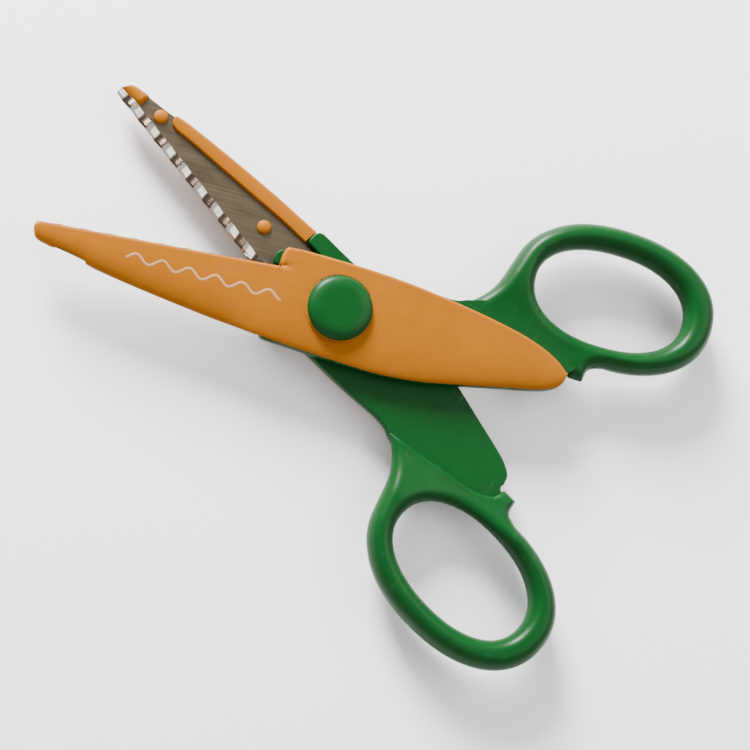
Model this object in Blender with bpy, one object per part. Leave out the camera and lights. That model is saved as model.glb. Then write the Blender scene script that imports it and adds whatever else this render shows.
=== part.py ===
"""Wave-edge craft scissors: two halves from the same mouldings, turned over about the long axis.

Each half is drawn in its own frame, in millimetres: u runs from the pivot towards the handle, v towards
the blade's spine, and h outwards from the mid-plane between the halves. The closing line is v = 0.
"""
import math

import bmesh
import bpy
import numpy as np

MM = 0.001

# driving dimensions, millimetres and degrees
HALF_ANGLE = 16.33
MID_HEIGHT = 7.4
SLIDE_GAP = 0.15
FIT_GAP = 0.3

ARM_OUTER = 2.75
TANG_INNER = 2.1
STEEL_THICKNESS = 0.6
SEAT_HEIGHT = 3.05
COVER_HEIGHT_ARM = 5.2
COVER_HEIGHT_TIP = 3.9
RIM_TOP = 1.05

EDGE_OFFSET = -8.58
EDGE_SLOPE = -0.0836
STRIP_WIDTH = 2.2
STRIP_START = 21.8
COVER_EDGE_GAP = 0.75
TIP_END = -75.35
STEP_START = -16.45
STEP_LENGTH = 1.9
STEP_POWER = 3
RIM_START = -61.8
RIM_END = -17.75
KNOB_START = -69.6
TIP_REACH = 75.0
WAVE_PERIOD = 6.1
WAVE_AMPLITUDE = 0.4
WAVE_CREST = 71.0

RING_CENTRE = (65.8, -21.3)
RING_HOLE = (19.5, 12.0)
RING_HOLE_TILT = 1.2
RING_OUTER_CENTRE = (66.9, -22.0)
RING_OUTER = (25.9, 17.8)
RING_TILT = 2.8
RING_POWER = 2.2
RING_HEIGHT = 4.4
RING_ROUND = 3.2
RIDGE_HEIGHT = 1.9

RIVET_RADIUS = 2.3
RIVET_HEAD_RADIUS = 3.9
RIVET_HALF_LENGTH = 6.05
WASHER_RECESS = (6.3, 0.8)
WELL_RADIUS = 6.9
WELL_FLOOR = 4.0
CAP_RADIUS = 8.0
CAP_UNDERSIDE = 5.5
FINGER_RADIUS = 13.5
TANG_RADIUS = 7.2
BOSS_RADIUS = 8.3
PEG_RADIUS = 1.77
PEG_HOLE_RADIUS = 1.42
PEGS = ((-63.8, 2.1), (-27.1, 2.1))

COLOURS = {
    "green_plastic": ((0.012, 0.19, 0.035), 0.3, 0.0),
    "orange_plastic": ((0.78, 0.33, 0.02), 0.4, 0.0),
    "blade_steel": ((0.42, 0.40, 0.37), 0.35, 1.0),
    "rivet_steel": ((0.55, 0.55, 0.56), 0.3, 1.0),
    "washer_nylon": ((0.8, 0.79, 0.74), 0.5, 0.0),
}

# spine edge shared by the arm and its cover, from the tip knob to the tail
SPINE_EDGE = (
    (-75.3, 0.5), (-74.9, 1.5), (-74.2, 2.35), (-72.8, 2.95), (-71.2, 3.3), (-69.7, 3.6), (-66.0, 4.2),
    (-62.4, 4.9), (-60.6, 5.5), (-58.0, 6.1), (-54.0, 6.75), (-48.0, 7.65), (-42.0, 8.45), (-36.0, 9.2),
    (-30.0, 9.9), (-24.0, 10.5), (-17.0, 11.25), (-12.3, 11.65), (1.0, 12.4), (12.0, 12.8), (21.0, 12.2),
    (33.8, 9.9), (44.3, 7.7), (53.1, 5.8), (56.2, 4.5), (57.4, 3.6), (58.1, 2.3), (58.5, 0.4),
)
ARM_CUT_EDGE = (
    (-10.6, -11.75), (-5.0, -12.0), (0.0, -12.15), (10.0, -11.7), (18.0, -11.1), (25.0, -10.35),
    (28.5, -10.55), (31.0, -11.4),
)
COVER_CUT_EDGE = (
    (-14.5, -11.6), (-10.6, -11.8), (0.0, -11.7), (9.6, -11.35), (25.2, -9.7), (42.7, -6.65),
    (50.0, -4.6), (55.5, -2.0), (58.2, 0.2),
)
RIM_INNER_EDGE = (
    (-61.6, 4.7), (-61.2, 3.6), (-60.3, 2.75), (-58.9, 2.45), (-56.7, 2.75), (-53.0, 3.25), (-49.9, 3.55),
    (-36.4, 5.05), (-24.0, 6.4), (-20.5, 6.6), (-16.1, 6.8),
)
NECK_EDGE = (
    (209, 44.9, -33.05), (203, 43.1, -31.0), (197.5, 41.8, -29.0), (192, 40.85, -26.9), (187, 40.0, -24.7),
    (182, 39.1, -22.2), (177, 38.1, -19.6), (172, 36.9, -17.2), (168, 35.4, -15.2), (163.5, 33.5, -13.3),
    (159, 31.4, -11.7), (155, 30.0, -10.9),
)
NUB_EDGE = (
    (106, 58.9, -2.2), (103.5, 59.3, -0.4), (102, 59.6, 0.15), (97, 62.9, 0.35), (94.5, 63.5, -1.15),
    (92, 63.9, -2.3), (89.5, 64.6, -3.1), (86.5, 66.1, -3.75),
)


def smooth_curve(x, points):
    """Monotone cubic through points (x, y), read at x."""
    px, py = np.array(points, float).T
    slopes = np.diff(py) / np.diff(px)
    before, after = slopes[:-1], slopes[1:]
    total = np.where(before + after == 0, 1, before + after)
    inner = np.where(before * after > 0, 2 * before * after / total, 0)
    tangents = np.concatenate([slopes[:1], inner, slopes[-1:]])
    x = np.clip(x, px[0], px[-1])
    i = np.clip(np.searchsorted(px, x) - 1, 0, len(px) - 2)
    span = px[i + 1] - px[i]
    t = (x - px[i]) / span
    return ((2 * t**3 - 3 * t**2 + 1) * py[i] + (t**3 - 2 * t**2 + t) * span * tangents[i]
            + (3 * t**2 - 2 * t**3) * py[i + 1] + (t**3 - t**2) * span * tangents[i + 1])


def smoothstep(x, low, high):
    t = np.clip((x - low) / (high - low), 0, 1)
    return t * t * (3 - 2 * t)


def quarter_round(x):
    """Height of a quarter circle of radius 1, at distance x from its edge."""
    return np.sqrt(1 - (1 - np.clip(x, 0, 1)) ** 2)


def superellipse(degrees, centre, semi_axes, tilt):
    """Rounded oval of the ring: |c/a|^p + |s/b|^p = 1, read at an angle about its centre."""
    a = np.radians(degrees)
    c, s = np.cos(a), np.sin(a)
    share = np.abs(c / semi_axes[0])**RING_POWER + np.abs(s / semi_axes[1])**RING_POWER
    radius = share**(-1 / RING_POWER)
    t = math.radians(tilt)
    u = centre[0] + radius * (c * math.cos(t) - s * math.sin(t))
    v = centre[1] + radius * (c * math.sin(t) + s * math.cos(t))
    return np.stack([u, v], -1)


def cutting_edge(u):
    return EDGE_OFFSET + EDGE_SLOPE * u


def wave(radius):
    """Corrugation of both blades, as a height over the mid-plane at a distance from the pivot."""
    start = smoothstep(radius, STRIP_START, STRIP_START + 1.5)
    return WAVE_AMPLITUDE * start * np.sin(2 * math.pi * (WAVE_CREST - radius) / WAVE_PERIOD)


def spine_edge(u):
    return smooth_curve(u, SPINE_EDGE)


def material(name):
    found = bpy.data.materials.get(name)
    if found:
        return found
    colour, roughness, metallic = COLOURS[name]
    made = bpy.data.materials.new(name)
    made.use_nodes = True
    shader = made.node_tree.nodes["Principled BSDF"]
    shader.inputs["Base Color"].default_value = (*colour, 1)
    shader.inputs["Roughness"].default_value = roughness
    shader.inputs["Metallic"].default_value = metallic
    made.diffuse_color = (*colour, 1)
    return made


def pose_half(obj, half):
    """Turn a moulding from its own frame into the rear or the front half, with its origin on the pivot."""
    obj.location = (0, 0, MID_HEIGHT * MM)
    if half == "rear":
        obj.rotation_euler = (0, 0, -math.radians(HALF_ANGLE))
    else:
        obj.rotation_euler = (math.pi, 0, math.radians(HALF_ANGLE))


def make_object(name, verts, faces, half, slot=None):
    """verts are (u, v, h); the mesh holds (u, v, -h) in metres."""
    mesh = bpy.data.meshes.new(name)
    points = np.array(verts, float) * (MM, MM, -MM)
    mesh.from_pydata(points.tolist(), [], [list(f) for f in faces])
    shell = bmesh.new()
    shell.from_mesh(mesh)
    bmesh.ops.remove_doubles(shell, verts=shell.verts, dist=1e-6)
    bmesh.ops.dissolve_degenerate(shell, edges=shell.edges, dist=1e-6)
    bmesh.ops.recalc_face_normals(shell, faces=shell.faces)
    shell.to_mesh(mesh)
    shell.free()
    obj = bpy.data.objects.new(name, mesh)
    bpy.context.collection.objects.link(obj)
    pose_half(obj, half)
    if slot:
        mesh.materials.append(material(slot))
        mesh.shade_smooth()
        mesh.set_sharp_from_angle(angle=math.radians(35))
    else:
        obj.hide_render = True
        obj.display_type = "WIRE"
    return obj


def boolean(target, tool, operation):
    step = target.modifiers.new(operation.lower() + "_" + tool.name, "BOOLEAN")
    step.operation = operation
    step.object = tool
    step.solver = "EXACT"


def grid_faces(rows, columns, wrap_rows=False, wrap_columns=False):
    faces = []
    for i in range(rows if wrap_rows else rows - 1):
        for j in range(columns if wrap_columns else columns - 1):
            k, m = (i + 1) % rows, (j + 1) % columns
            faces.append((i * columns + j, i * columns + m, k * columns + m, k * columns + j))
    return faces


def loft(sections):
    """Closed sections of equal length, joined in order and capped at both ends."""
    rows, columns = len(sections), len(sections[0])
    faces = grid_faces(rows, columns, wrap_columns=True)
    faces.append(tuple(range(columns)))
    faces.append(tuple((rows - 1) * columns + j for j in range(columns)))
    return [p for section in sections for p in section], faces


def extrusion(outline, low, high):
    return loft([[(u, v, low) for u, v in outline], [(u, v, high) for u, v in outline]])


def turned(profile, segments, centre=(0.0, 0.0)):
    """A closed profile of (radius, h) turned about the h axis."""
    verts = []
    for a in np.linspace(0, 2 * math.pi, segments, endpoint=False):
        verts += [(centre[0] + r * math.cos(a), centre[1] + r * math.sin(a), h) for r, h in profile]
    return verts, grid_faces(segments, len(profile), wrap_rows=True, wrap_columns=True)


def arc(radius, start, end, count):
    """Points about the pivot from one angle to another, in degrees."""
    angles = np.radians(np.linspace(start, end, count))
    return [(radius * math.cos(a), radius * math.sin(a)) for a in angles]


def disc(radius, low, high, centre=(0.0, 0.0), segments=32):
    angles = np.linspace(0, 2 * math.pi, segments, endpoint=False)
    outline = [(centre[0] + radius * math.cos(a), centre[1] + radius * math.sin(a)) for a in angles]
    return extrusion(outline, low, high)


def ring_outline(degrees):
    """Outer edge of the ring and neck, by angle: ring oval, nub, ridge, neck, then the oval again.

    The ridge is the spine edge mirrored in the closing line, where the other half's tail comes to rest.
    """
    ridge = []
    for angle, u in zip((151, 142, 134, 126, 119, 113), (31.8, 38.3, 44.6, 50.0, 54.6, 57.6)):
        ridge.append((angle, u, -spine_edge(u - 0.3)))
    ends = [(a, *superellipse(a, RING_OUTER_CENTRE, RING_OUTER, RING_TILT)) for a in (76, 84, 215, 220)]
    table = np.array(sorted(ends + list(NECK_EDGE) + ridge + list(NUB_EDGE)))
    curve = [smooth_curve(degrees, table[:, [0, 1]]), smooth_curve(degrees, table[:, [0, 2]])]
    ring = superellipse(degrees, RING_OUTER_CENTRE, RING_OUTER, RING_TILT)
    on_neck = ((degrees > 78) & (degrees < 217))[:, None]
    return np.where(on_neck, np.stack(curve, -1), ring)


def distance_to(points, line):
    """Shortest distance from each point to a line of straight pieces."""
    a, b = line[:-1], line[1:]
    ab = b - a
    ap = points[:, None, :] - a[None]
    t = np.clip((ap * ab).sum(-1) / (ab * ab).sum(-1), 0, 1)
    return np.linalg.norm(ap - t[..., None] * ab, axis=-1).min(1)


def ring_body():
    """Plan grid from the hole's edge to the outer edge, with a rounded inner and outer skin."""
    angles = np.concatenate([np.arange(88, 160, 4.0), np.arange(160, 214, 6.0), np.arange(215, 447, 12.9)])
    fine = np.linspace(76, 436, 361)
    hole_line = superellipse(fine, RING_CENTRE, RING_HOLE, RING_HOLE_TILT)
    round_line = ring_outline(np.linspace(155, 463, 260) % 360)
    nub_line = ring_outline(np.linspace(89, 104, 30))
    ridge_line = ring_outline(np.linspace(104, 154, 60))
    hole = superellipse(angles, RING_CENTRE, RING_HOLE, RING_HOLE_TILT)
    outer = ring_outline(angles % 360)
    across = (1 - np.cos(np.linspace(0, math.pi, 8))) / 2
    plan = (hole[:, None] + (outer - hole)[:, None] * across[None, :, None]).reshape(-1, 2)
    from_hole = quarter_round(distance_to(plan, hole_line) / RING_ROUND)
    from_edge = quarter_round(distance_to(plan, round_line) / RING_ROUND)
    from_nub = quarter_round(distance_to(plan, nub_line) / 1.0)
    from_ridge = distance_to(plan, ridge_line)
    blend = smoothstep(from_ridge, 0, 13)
    inner_top = (RIDGE_HEIGHT + (RING_HEIGHT - RIDGE_HEIGHT) * blend) * from_hole * from_edge * from_nub
    outer_top = (ARM_OUTER + (RING_HEIGHT - ARM_OUTER) * blend) * from_hole * from_edge * from_nub
    rows, columns = len(angles), len(across)
    inner_h = -inner_top.reshape(rows, columns)
    outer_h = outer_top.reshape(rows, columns)
    inner_h[:, [0, -1]] = np.minimum(inner_h[:, [0, -1]], -0.05)
    outer_h[:, [0, -1]] = np.maximum(outer_h[:, [0, -1]], 0.05)
    plan = plan.reshape(rows, columns, 2)
    sections = []
    for i in range(rows):
        up = [(*plan[i, j], inner_h[i, j]) for j in range(columns)]
        down = [(*plan[i, j], outer_h[i, j]) for j in reversed(range(columns))]
        sections.append(up + down)
    verts = [p for section in sections for p in section]
    return verts, grid_faces(rows, 2 * columns, wrap_rows=True, wrap_columns=True)


def arm_outline():
    """Flat arm: cutting side, a line buried in the neck, tail, spine side and the two fingers."""
    cut_side = [(-17.2, -10.5), (-16.0, -11.2), (-14.0, -11.55)] + list(ARM_CUT_EDGE)
    buried = [(38.0, -12.5), (50.0, -9.0), (57.5, -6.0), (60.6, -3.0), (60.0, -1.0)]
    stations = (58.2, 57.9, 57.3, 56.2, 54.8, 53.0, 48.5, 44.0, 39.0, 34.0, 29.0, 24.0, 18.0, 12.0, 5.0,
                -2.0, -10.0)
    spine_side = [(u, spine_edge(u)) for u in stations]
    spine_finger = [(-15.2, 11.6), (-16.6, 11.3), (-17.35, 10.4), (-17.5, 9.2), (-17.3, 7.7), (-16.5, 7.2)]
    front = arc(FINGER_RADIUS, 147.8, 207, 9)
    cut_finger = [(-16.2, -7.3), (-17.3, -7.35), (-17.75, -8.0), (-17.75, -9.6)]
    return cut_side + buried + spine_side + spine_finger + front + cut_finger


def tang_pocket_outline():
    """The tang's plan with a gap all round."""
    side = -6.9 - FIT_GAP
    end = arc(TANG_RADIUS + FIT_GAP, -75, 75, 13)
    return [(-24.0, side), (-12.0, side)] + end + [(-12.0, 6.0 + FIT_GAP), (-24.0, 5.4 + FIT_GAP)]


def build_handle(half):
    slab = extrusion(arm_outline(), SLIDE_GAP, ARM_OUTER)
    arm = make_object(half + "_handle", *slab, half, "green_plastic")
    ring = make_object(half + "_ring_tool", *ring_body(), half)
    boolean(arm, ring, "UNION")
    room = extrusion(tang_pocket_outline(), TANG_INNER - FIT_GAP, ARM_OUTER + 1)
    pocket = make_object(half + "_tang_tool", *room, half)
    boolean(arm, pocket, "DIFFERENCE")
    bore = make_object(half + "_bore_tool", *disc(RIVET_RADIUS + FIT_GAP, -1, 7), half)
    boolean(arm, bore, "DIFFERENCE")
    recess = make_object(half + "_recess_tool", *disc(WASHER_RECESS[0], -1, WASHER_RECESS[1]), half)
    boolean(arm, recess, "DIFFERENCE")


def cover_cut_edge(u):
    """Beside the strip, then a squarish step out to the arm's width, then the arm's curve."""
    if u < STEP_START:
        return cutting_edge(u) + COVER_EDGE_GAP
    if u > STEP_START + STEP_LENGTH:
        return float(smooth_curve(u, COVER_CUT_EDGE))
    start = cutting_edge(STEP_START) + COVER_EDGE_GAP
    left = 1 - (u - STEP_START) / STEP_LENGTH
    return start + (COVER_CUT_EDGE[0][1] - start) * (1 - left**STEP_POWER)**(1 / STEP_POWER)


def cover_section(u):
    """Section across the cover: seat, rim, crowned outer face, cutting-side wall."""
    tip = quarter_round((u - TIP_END) / 1.2)
    cut, spine = cover_cut_edge(u), float(spine_edge(u))
    middle = 0.35 * cut + 0.65 * spine
    cut, spine = middle + (cut - middle) * tip, middle + (spine - middle) * tip
    width = spine - cut
    rim = float(smoothstep(u, RIM_START, RIM_START + 0.6)) * float(u < RIM_END) + float(u < KNOB_START)
    inner = float(smooth_curve(u, RIM_INNER_EDGE))
    if u < KNOB_START + 0.5:
        inner = cutting_edge(u) + STRIP_WIDTH + 0.4
    inner = min(max(inner, cut + 0.4 * width), spine - 0.4)
    top = float(smooth_curve(u, ((TIP_END, COVER_HEIGHT_TIP), (-20.0, 4.9), (-10.0, COVER_HEIGHT_ARM),
                                 (40.0, COVER_HEIGHT_ARM), (58.2, 4.5))))
    top = SEAT_HEIGHT + (top - SEAT_HEIGHT) * (0.45 + 0.55 * tip)
    seat = SEAT_HEIGHT - rim * (SEAT_HEIGHT - RIM_TOP)
    edge = 3.4 - 1.1 * rim
    section = [(cut, SEAT_HEIGHT), (inner, SEAT_HEIGHT)]
    section.append((inner + 0.05, min(seat + 0.4, SEAT_HEIGHT - 0.01)))
    section.append((inner + 0.35, seat - 0.01 * (1 - rim)))
    section.append((spine - 0.25 * (spine - inner), seat - 0.02 * (1 - rim)))
    section.append((spine - 0.05 * (spine - inner), seat + 0.2 * rim))
    for turn in np.radians((0, 30, 60, 90)):
        crown_v = spine - 0.5 * width * (1 - math.cos(turn))
        section.append((crown_v, edge + (top - edge) * math.sin(turn)))
    section.append((cut + min(0.9, 0.3 * width), top))
    section.append((cut + 0.2, top - 0.5))
    section.append((cut, top - 0.85 if top > SEAT_HEIGHT + 1 else SEAT_HEIGHT + 0.1))
    return [(u, v, h) for v, h in section]


def build_cover(half):
    knob = [-75.33, -75.2, -74.9, -74.2, -72.8, -71.2, -69.75, -69.45, -65.0]
    rim = [-62.0, -61.6, -61.2, -60.3, -58.9, -53.0, -45.75, -38.5, -31.25, -24.0, -18.6, -17.9]
    step = [-17.6, -16.6, -16.4, -16.3, -16.0, -15.5, -14.55]
    arm = [-11, -5, 2, 9, 18, 27, 36, 44, 50, 54, 56.4, 57.6, 58.2]
    skin = loft([cover_section(u) for u in knob + rim + step + arm])
    cover = make_object(half + "_blade_cover", *skin, half, "orange_plastic")
    boss = make_object(half + "_boss_tool", *disc(BOSS_RADIUS, 3.3, COVER_HEIGHT_ARM + 0.02), half)
    boolean(cover, boss, "UNION")
    well = make_object(half + "_well_tool", *disc(WELL_RADIUS, WELL_FLOOR, 7), half)
    boolean(cover, well, "DIFFERENCE")
    bore = make_object(half + "_cover_bore_tool", *disc(RIVET_RADIUS + FIT_GAP, 1, 7, segments=24), half)
    boolean(cover, bore, "DIFFERENCE")
    for number, centre in enumerate(PEGS):
        dome = [(0.0, 1.06), (0.7, 1.12), (1.3, 1.32), (PEG_RADIUS, 1.76)]
        stem = [(1.1, 1.8), (1.1, 3.4), (0.0, 3.4)]
        peg = make_object("%s_peg_tool_%d" % (half, number), *turned(dome + stem, 16, centre), half)
        boolean(cover, peg, "UNION")


def blade_strip(side):
    """Corrugated strip along the cutting edge, with a ramp that ends inside the plate.

    side is 1 or -1, so that both strips follow one wave in space.
    """
    count = int((TIP_REACH - STRIP_START) / WAVE_PERIOD * 6)
    across = ((0.0, 0, 0), (STRIP_WIDTH, 0, 0), (STRIP_WIDTH + 0.75, 1, 0), (STRIP_WIDTH + 1.5, 1, 0.15))
    sections = []
    for radius in np.linspace(STRIP_START, TIP_REACH, count):
        inner_side, outer_side = [], []
        beside_knob = radius > -KNOB_START - 0.5
        for offset, raised, shrink in across:
            if beside_knob and raised:
                offset, raised, shrink = STRIP_WIDTH + 0.05 * shrink + 0.01, 0, 0
            line = EDGE_OFFSET + offset
            a, b, c = 1 + EDGE_SLOPE**2, 2 * line * EDGE_SLOPE, line**2 - radius**2
            u = (-b - math.sqrt(b * b - 4 * a * c)) / (2 * a)
            v = line + EDGE_SLOPE * u
            flat = TANG_INNER + shrink
            h = flat if raised else SLIDE_GAP - side * float(wave(radius))
            inner_side.append((u, v, h))
            outer_side.append((u, v, h + STEEL_THICKNESS - 2 * shrink))
        sections.append(inner_side + outer_side[::-1])
    return loft(sections)


def plate_outline():
    """Flat plate behind the strip, its tang round the pivot, the rim's inner edge and the bare spine."""
    line = STRIP_WIDTH + 0.9
    cut_side = [(u, cutting_edge(u) + line) for u in (-69.2, -45.0, -23.0)]
    end = arc(TANG_RADIUS, -70, 70, 13)
    tang = [(-19.0, -6.6), (-12.0, -6.6)] + end + [(-12.0, 5.9), (-16.0, 5.6)]
    stations = (-24.0, -36.4, -45.9, -53.0, -56.7, -58.9, -60.3)
    rim_side = [(u, float(smooth_curve(u, RIM_INNER_EDGE)) - FIT_GAP) for u in stations]
    spine = [(-61.7, 3.2), (-62.4, 4.5), (-66.0, 3.8), (-69.0, 3.2)]
    return cut_side + tang + rim_side + spine


def build_blade(half):
    slab = extrusion(plate_outline(), TANG_INNER, TANG_INNER + STEEL_THICKNESS)
    plate = make_object(half + "_blade", *slab, half, "blade_steel")
    side = -1 if half == "front" else 1
    strip = make_object(half + "_strip_tool", *blade_strip(side), half)
    boolean(plate, strip, "UNION")
    bore = make_object(half + "_tang_bore_tool", *disc(RIVET_RADIUS + FIT_GAP, 1, 4, segments=24), half)
    boolean(plate, bore, "DIFFERENCE")
    for number, centre in enumerate(PEGS):
        room = disc(PEG_HOLE_RADIUS, 1, 4, centre, 16)
        hole = make_object("%s_peg_hole_tool_%d" % (half, number), *room, half)
        boolean(plate, hole, "DIFFERENCE")


def build_pivot():
    """Rivet through both halves, a washer under each head, one between the arms and the two caps."""
    shank, head = RIVET_RADIUS, RIVET_HEAD_RADIUS
    upper = [(shank, 5.1), (head, 5.1), (head, 5.45), (2.2, 5.95), (0.0, RIVET_HALF_LENGTH)]
    lower = [(r, -h) for r, h in reversed(upper)]
    make_object("pivot_rivet", *turned(lower + upper, 32), "rear", "rivet_steel")
    inner = shank + FIT_GAP
    friction = [(inner, -0.5), (5.9, -0.5), (5.9, 0.5), (inner, 0.5)]
    make_object("pivot_friction_washer", *turned(friction, 36), "rear", "washer_nylon")
    for half in ("front", "rear"):
        washer = [(inner, 4.3), (4.8, 4.3), (4.8, 4.8), (inner, 4.8)]
        make_object(half + "_rivet_washer", *turned(washer, 32), half, "rivet_steel")
        dome = [(4.5, MID_HEIGHT), (6.2, 7.15), (7.4, 6.6), (CAP_RADIUS, 5.9), (CAP_RADIUS, CAP_UNDERSIDE)]
        inside = [(6.5, CAP_UNDERSIDE), (6.5, 4.4), (5.3, 4.4), (5.3, 6.2), (4.6, 6.4), (0.0, 6.4)]
        cap = [(0.0, MID_HEIGHT)] + dome + inside
        make_object(half + "_pivot_cap", *turned(cap, 32), half, "green_plastic")


def build():
    for obj in list(bpy.data.objects):
        bpy.data.objects.remove(obj, do_unlink=True)
    for half in ("rear", "front"):
        build_handle(half)
        build_cover(half)
        build_blade(half)
    build_pivot()


build()
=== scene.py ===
# Wave-edge craft scissors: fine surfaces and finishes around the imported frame.
# Each half is drawn in its own frame in millimetres: u towards the handle, v towards the spine,
# h outwards from the mid-plane between the halves. Both halves use the same mouldings.
import math

import bmesh
import bpy
import numpy as np
from mathutils import Matrix, Vector


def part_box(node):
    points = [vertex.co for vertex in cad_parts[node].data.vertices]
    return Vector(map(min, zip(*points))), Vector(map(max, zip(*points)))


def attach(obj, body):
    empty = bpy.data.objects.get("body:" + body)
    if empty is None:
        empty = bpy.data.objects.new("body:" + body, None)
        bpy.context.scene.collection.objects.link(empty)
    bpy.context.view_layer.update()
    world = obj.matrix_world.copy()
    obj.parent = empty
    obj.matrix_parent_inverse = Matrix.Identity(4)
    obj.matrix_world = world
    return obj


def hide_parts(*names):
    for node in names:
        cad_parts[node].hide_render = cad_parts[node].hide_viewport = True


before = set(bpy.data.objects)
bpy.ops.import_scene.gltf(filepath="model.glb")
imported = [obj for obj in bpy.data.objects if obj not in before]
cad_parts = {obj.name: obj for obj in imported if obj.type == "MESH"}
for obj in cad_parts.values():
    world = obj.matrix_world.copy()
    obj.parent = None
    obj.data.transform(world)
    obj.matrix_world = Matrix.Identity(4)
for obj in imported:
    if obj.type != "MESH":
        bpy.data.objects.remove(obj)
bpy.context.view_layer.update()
mm = 0.001
halfAngle = math.radians(16.33)
slideGap = 0.15
halves = {"rear": "rear_half", "front": "front_half"}
lowCap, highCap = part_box("rear_pivot_cap")[0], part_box("front_pivot_cap")[1]
midHeight = (lowCap.z + highCap.z) / 2 / mm


def smoothCurve(x, points):
    # monotone cubic through (x, y) points, read at x
    px, py = np.array(points, float).T
    slopes = np.diff(py) / np.diff(px)
    total = slopes[1:] + slopes[:-1]
    product = slopes[1:] * slopes[:-1]
    inner = np.where(product > 0, 2 * product / np.where(total == 0, 1, total), 0)
    tangents = np.concatenate([slopes[:1], inner, slopes[-1:]])
    x = np.clip(x, px[0], px[-1])
    i = np.clip(np.searchsorted(px, x) - 1, 0, len(px) - 2)
    span = px[i + 1] - px[i]
    t = (x - px[i]) / span
    return ((2 * t**3 - 3 * t**2 + 1) * py[i] + (t**3 - 2 * t**2 + t) * span * tangents[i]
            + (3 * t**2 - 2 * t**3) * py[i + 1] + (t**3 - t**2) * span * tangents[i + 1])


def smoothStep(x, low, high):
    t = np.clip((x - low) / (high - low), 0, 1)
    return t * t * (3 - 2 * t)


def quarterRound(x):
    # height of a unit quarter circle at distance x from its edge
    return np.sqrt(np.maximum(1 - (1 - np.clip(x, 0, 1)) ** 2, 0))


def closedSpline(points, count):
    # closed Catmull-Rom curve through points, count points evenly spaced by length
    p = np.array(points, float)
    steps = np.linspace(0, 1, 24, endpoint=False)[None, :, None]
    a, b, c, d = (np.roll(p, k, 0)[:, None] for k in (1, 0, -1, -2))
    dense = 0.5 * (2 * b + (c - a) * steps + (2 * a - 5 * b + 4 * c - d) * steps**2
                   + (3 * b - a - 3 * c + d) * steps**3)
    dense = dense.reshape(-1, 2)
    loop = np.vstack([dense, dense[:1]])
    run = np.concatenate([[0], np.cumsum(np.linalg.norm(np.diff(loop, axis=0), axis=1))])
    at = np.linspace(0, run[-1], count, endpoint=False)
    return np.stack([np.interp(at, run, loop[:, k]) for k in range(2)], 1)


def lineDistance(points, line):
    # shortest distance from each point to an open polyline
    a, b = line[:-1], line[1:]
    ab = b - a
    best = np.full(len(points), 1e9)
    for start in range(0, len(points), 4000):
        ap = points[start:start + 4000, None] - a[None]
        t = np.clip((ap * ab).sum(-1) / (ab * ab).sum(-1), 0, 1)
        best[start:start + 4000] = np.linalg.norm(ap - t[..., None] * ab, axis=-1).min(1)
    return best


def gridFaces(rows, columns, wrapRows=False, wrapColumns=False):
    i = np.arange(rows if wrapRows else rows - 1)[:, None]
    j = np.arange(columns if wrapColumns else columns - 1)[None]
    k, m = (i + 1) % rows, (j + 1) % columns
    quads = np.stack([i * columns + j, i * columns + m, k * columns + m, k * columns + j], -1)
    return quads.reshape(-1, 4).tolist()


def shell(verts, wrapRows=False, caps=False):
    # a tube from a grid of points (rows, columns, 3), each row a closed loop; caps close both ends
    rows, columns = verts.shape[:2]
    faces = gridFaces(rows, columns, wrapRows, wrapColumns=True)
    if caps:
        faces.append(list(range(columns)))
        faces.append([(rows - 1) * columns + j for j in range(columns)])
    return verts.reshape(-1, 3), faces


def joined(*shells):
    verts, faces, count = [], [], 0
    for points, quads in shells:
        verts.append(points)
        faces.extend([[i + count for i in face] for face in quads])
        count += len(points)
    return np.vstack(verts), faces


def halfMatrix(half):
    if half == "rear":
        turn = Matrix.Rotation(-halfAngle, 4, "Z")
    else:
        turn = Matrix.Rotation(halfAngle, 4, "Z") @ Matrix.Rotation(math.pi, 4, "X")
    return Matrix.Translation((0, 0, midHeight * mm)) @ turn


def outwardNormals(mesh):
    work = bmesh.new()
    work.from_mesh(mesh)
    bmesh.ops.remove_doubles(work, verts=work.verts, dist=2e-7)
    bmesh.ops.dissolve_degenerate(work, edges=work.edges, dist=1e-7)
    bmesh.ops.recalc_face_normals(work, faces=work.faces)
    work.to_mesh(mesh)
    work.free()


def makePiece(name, verts, faces, half, finish, sharp=38):
    # verts hold (u, v, h); the mesh gets its place in the row frame
    mesh = bpy.data.meshes.new(name)
    points = np.asarray(verts, float) * (mm, mm, -mm)
    mesh.from_pydata(points.tolist(), [], faces)
    outwardNormals(mesh)
    mesh.transform(halfMatrix(half))
    mesh.materials.append(finish)
    mesh.shade_smooth()
    mesh.set_sharp_from_angle(angle=math.radians(sharp))
    piece = bpy.data.objects.new(name, mesh)
    bpy.context.scene.collection.objects.link(piece)
    return piece


def cutAway(piece, *cutters):
    for tool in cutters:
        step = piece.modifiers.new("cut", "BOOLEAN")
        step.operation, step.object, step.solver = "DIFFERENCE", tool, "EXACT"
    bpy.context.view_layer.update()
    graph = bpy.context.evaluated_depsgraph_get()
    result = bpy.data.meshes.new_from_object(piece.evaluated_get(graph))
    piece.modifiers.clear()
    result.set_sharp_from_angle(angle=math.radians(35))
    piece.data = result
    for tool in cutters:
        bpy.data.objects.remove(tool)


def place(piece, half, slot, *nodes):
    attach(piece, halves[half])
    if nodes:
        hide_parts(*nodes)


def turned(profile, segments, centre=(0.0, 0.0)):
    # profile points (radius, h) turned about the h axis
    p = np.array(profile, float)
    a = np.linspace(0, 2 * math.pi, segments, endpoint=False)[:, None]
    u = centre[0] + p[:, 0] * np.cos(a)
    v = centre[1] + p[:, 0] * np.sin(a)
    return shell(np.stack([u, v, np.broadcast_to(p[:, 1], u.shape)], -1), wrapRows=True)


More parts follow.
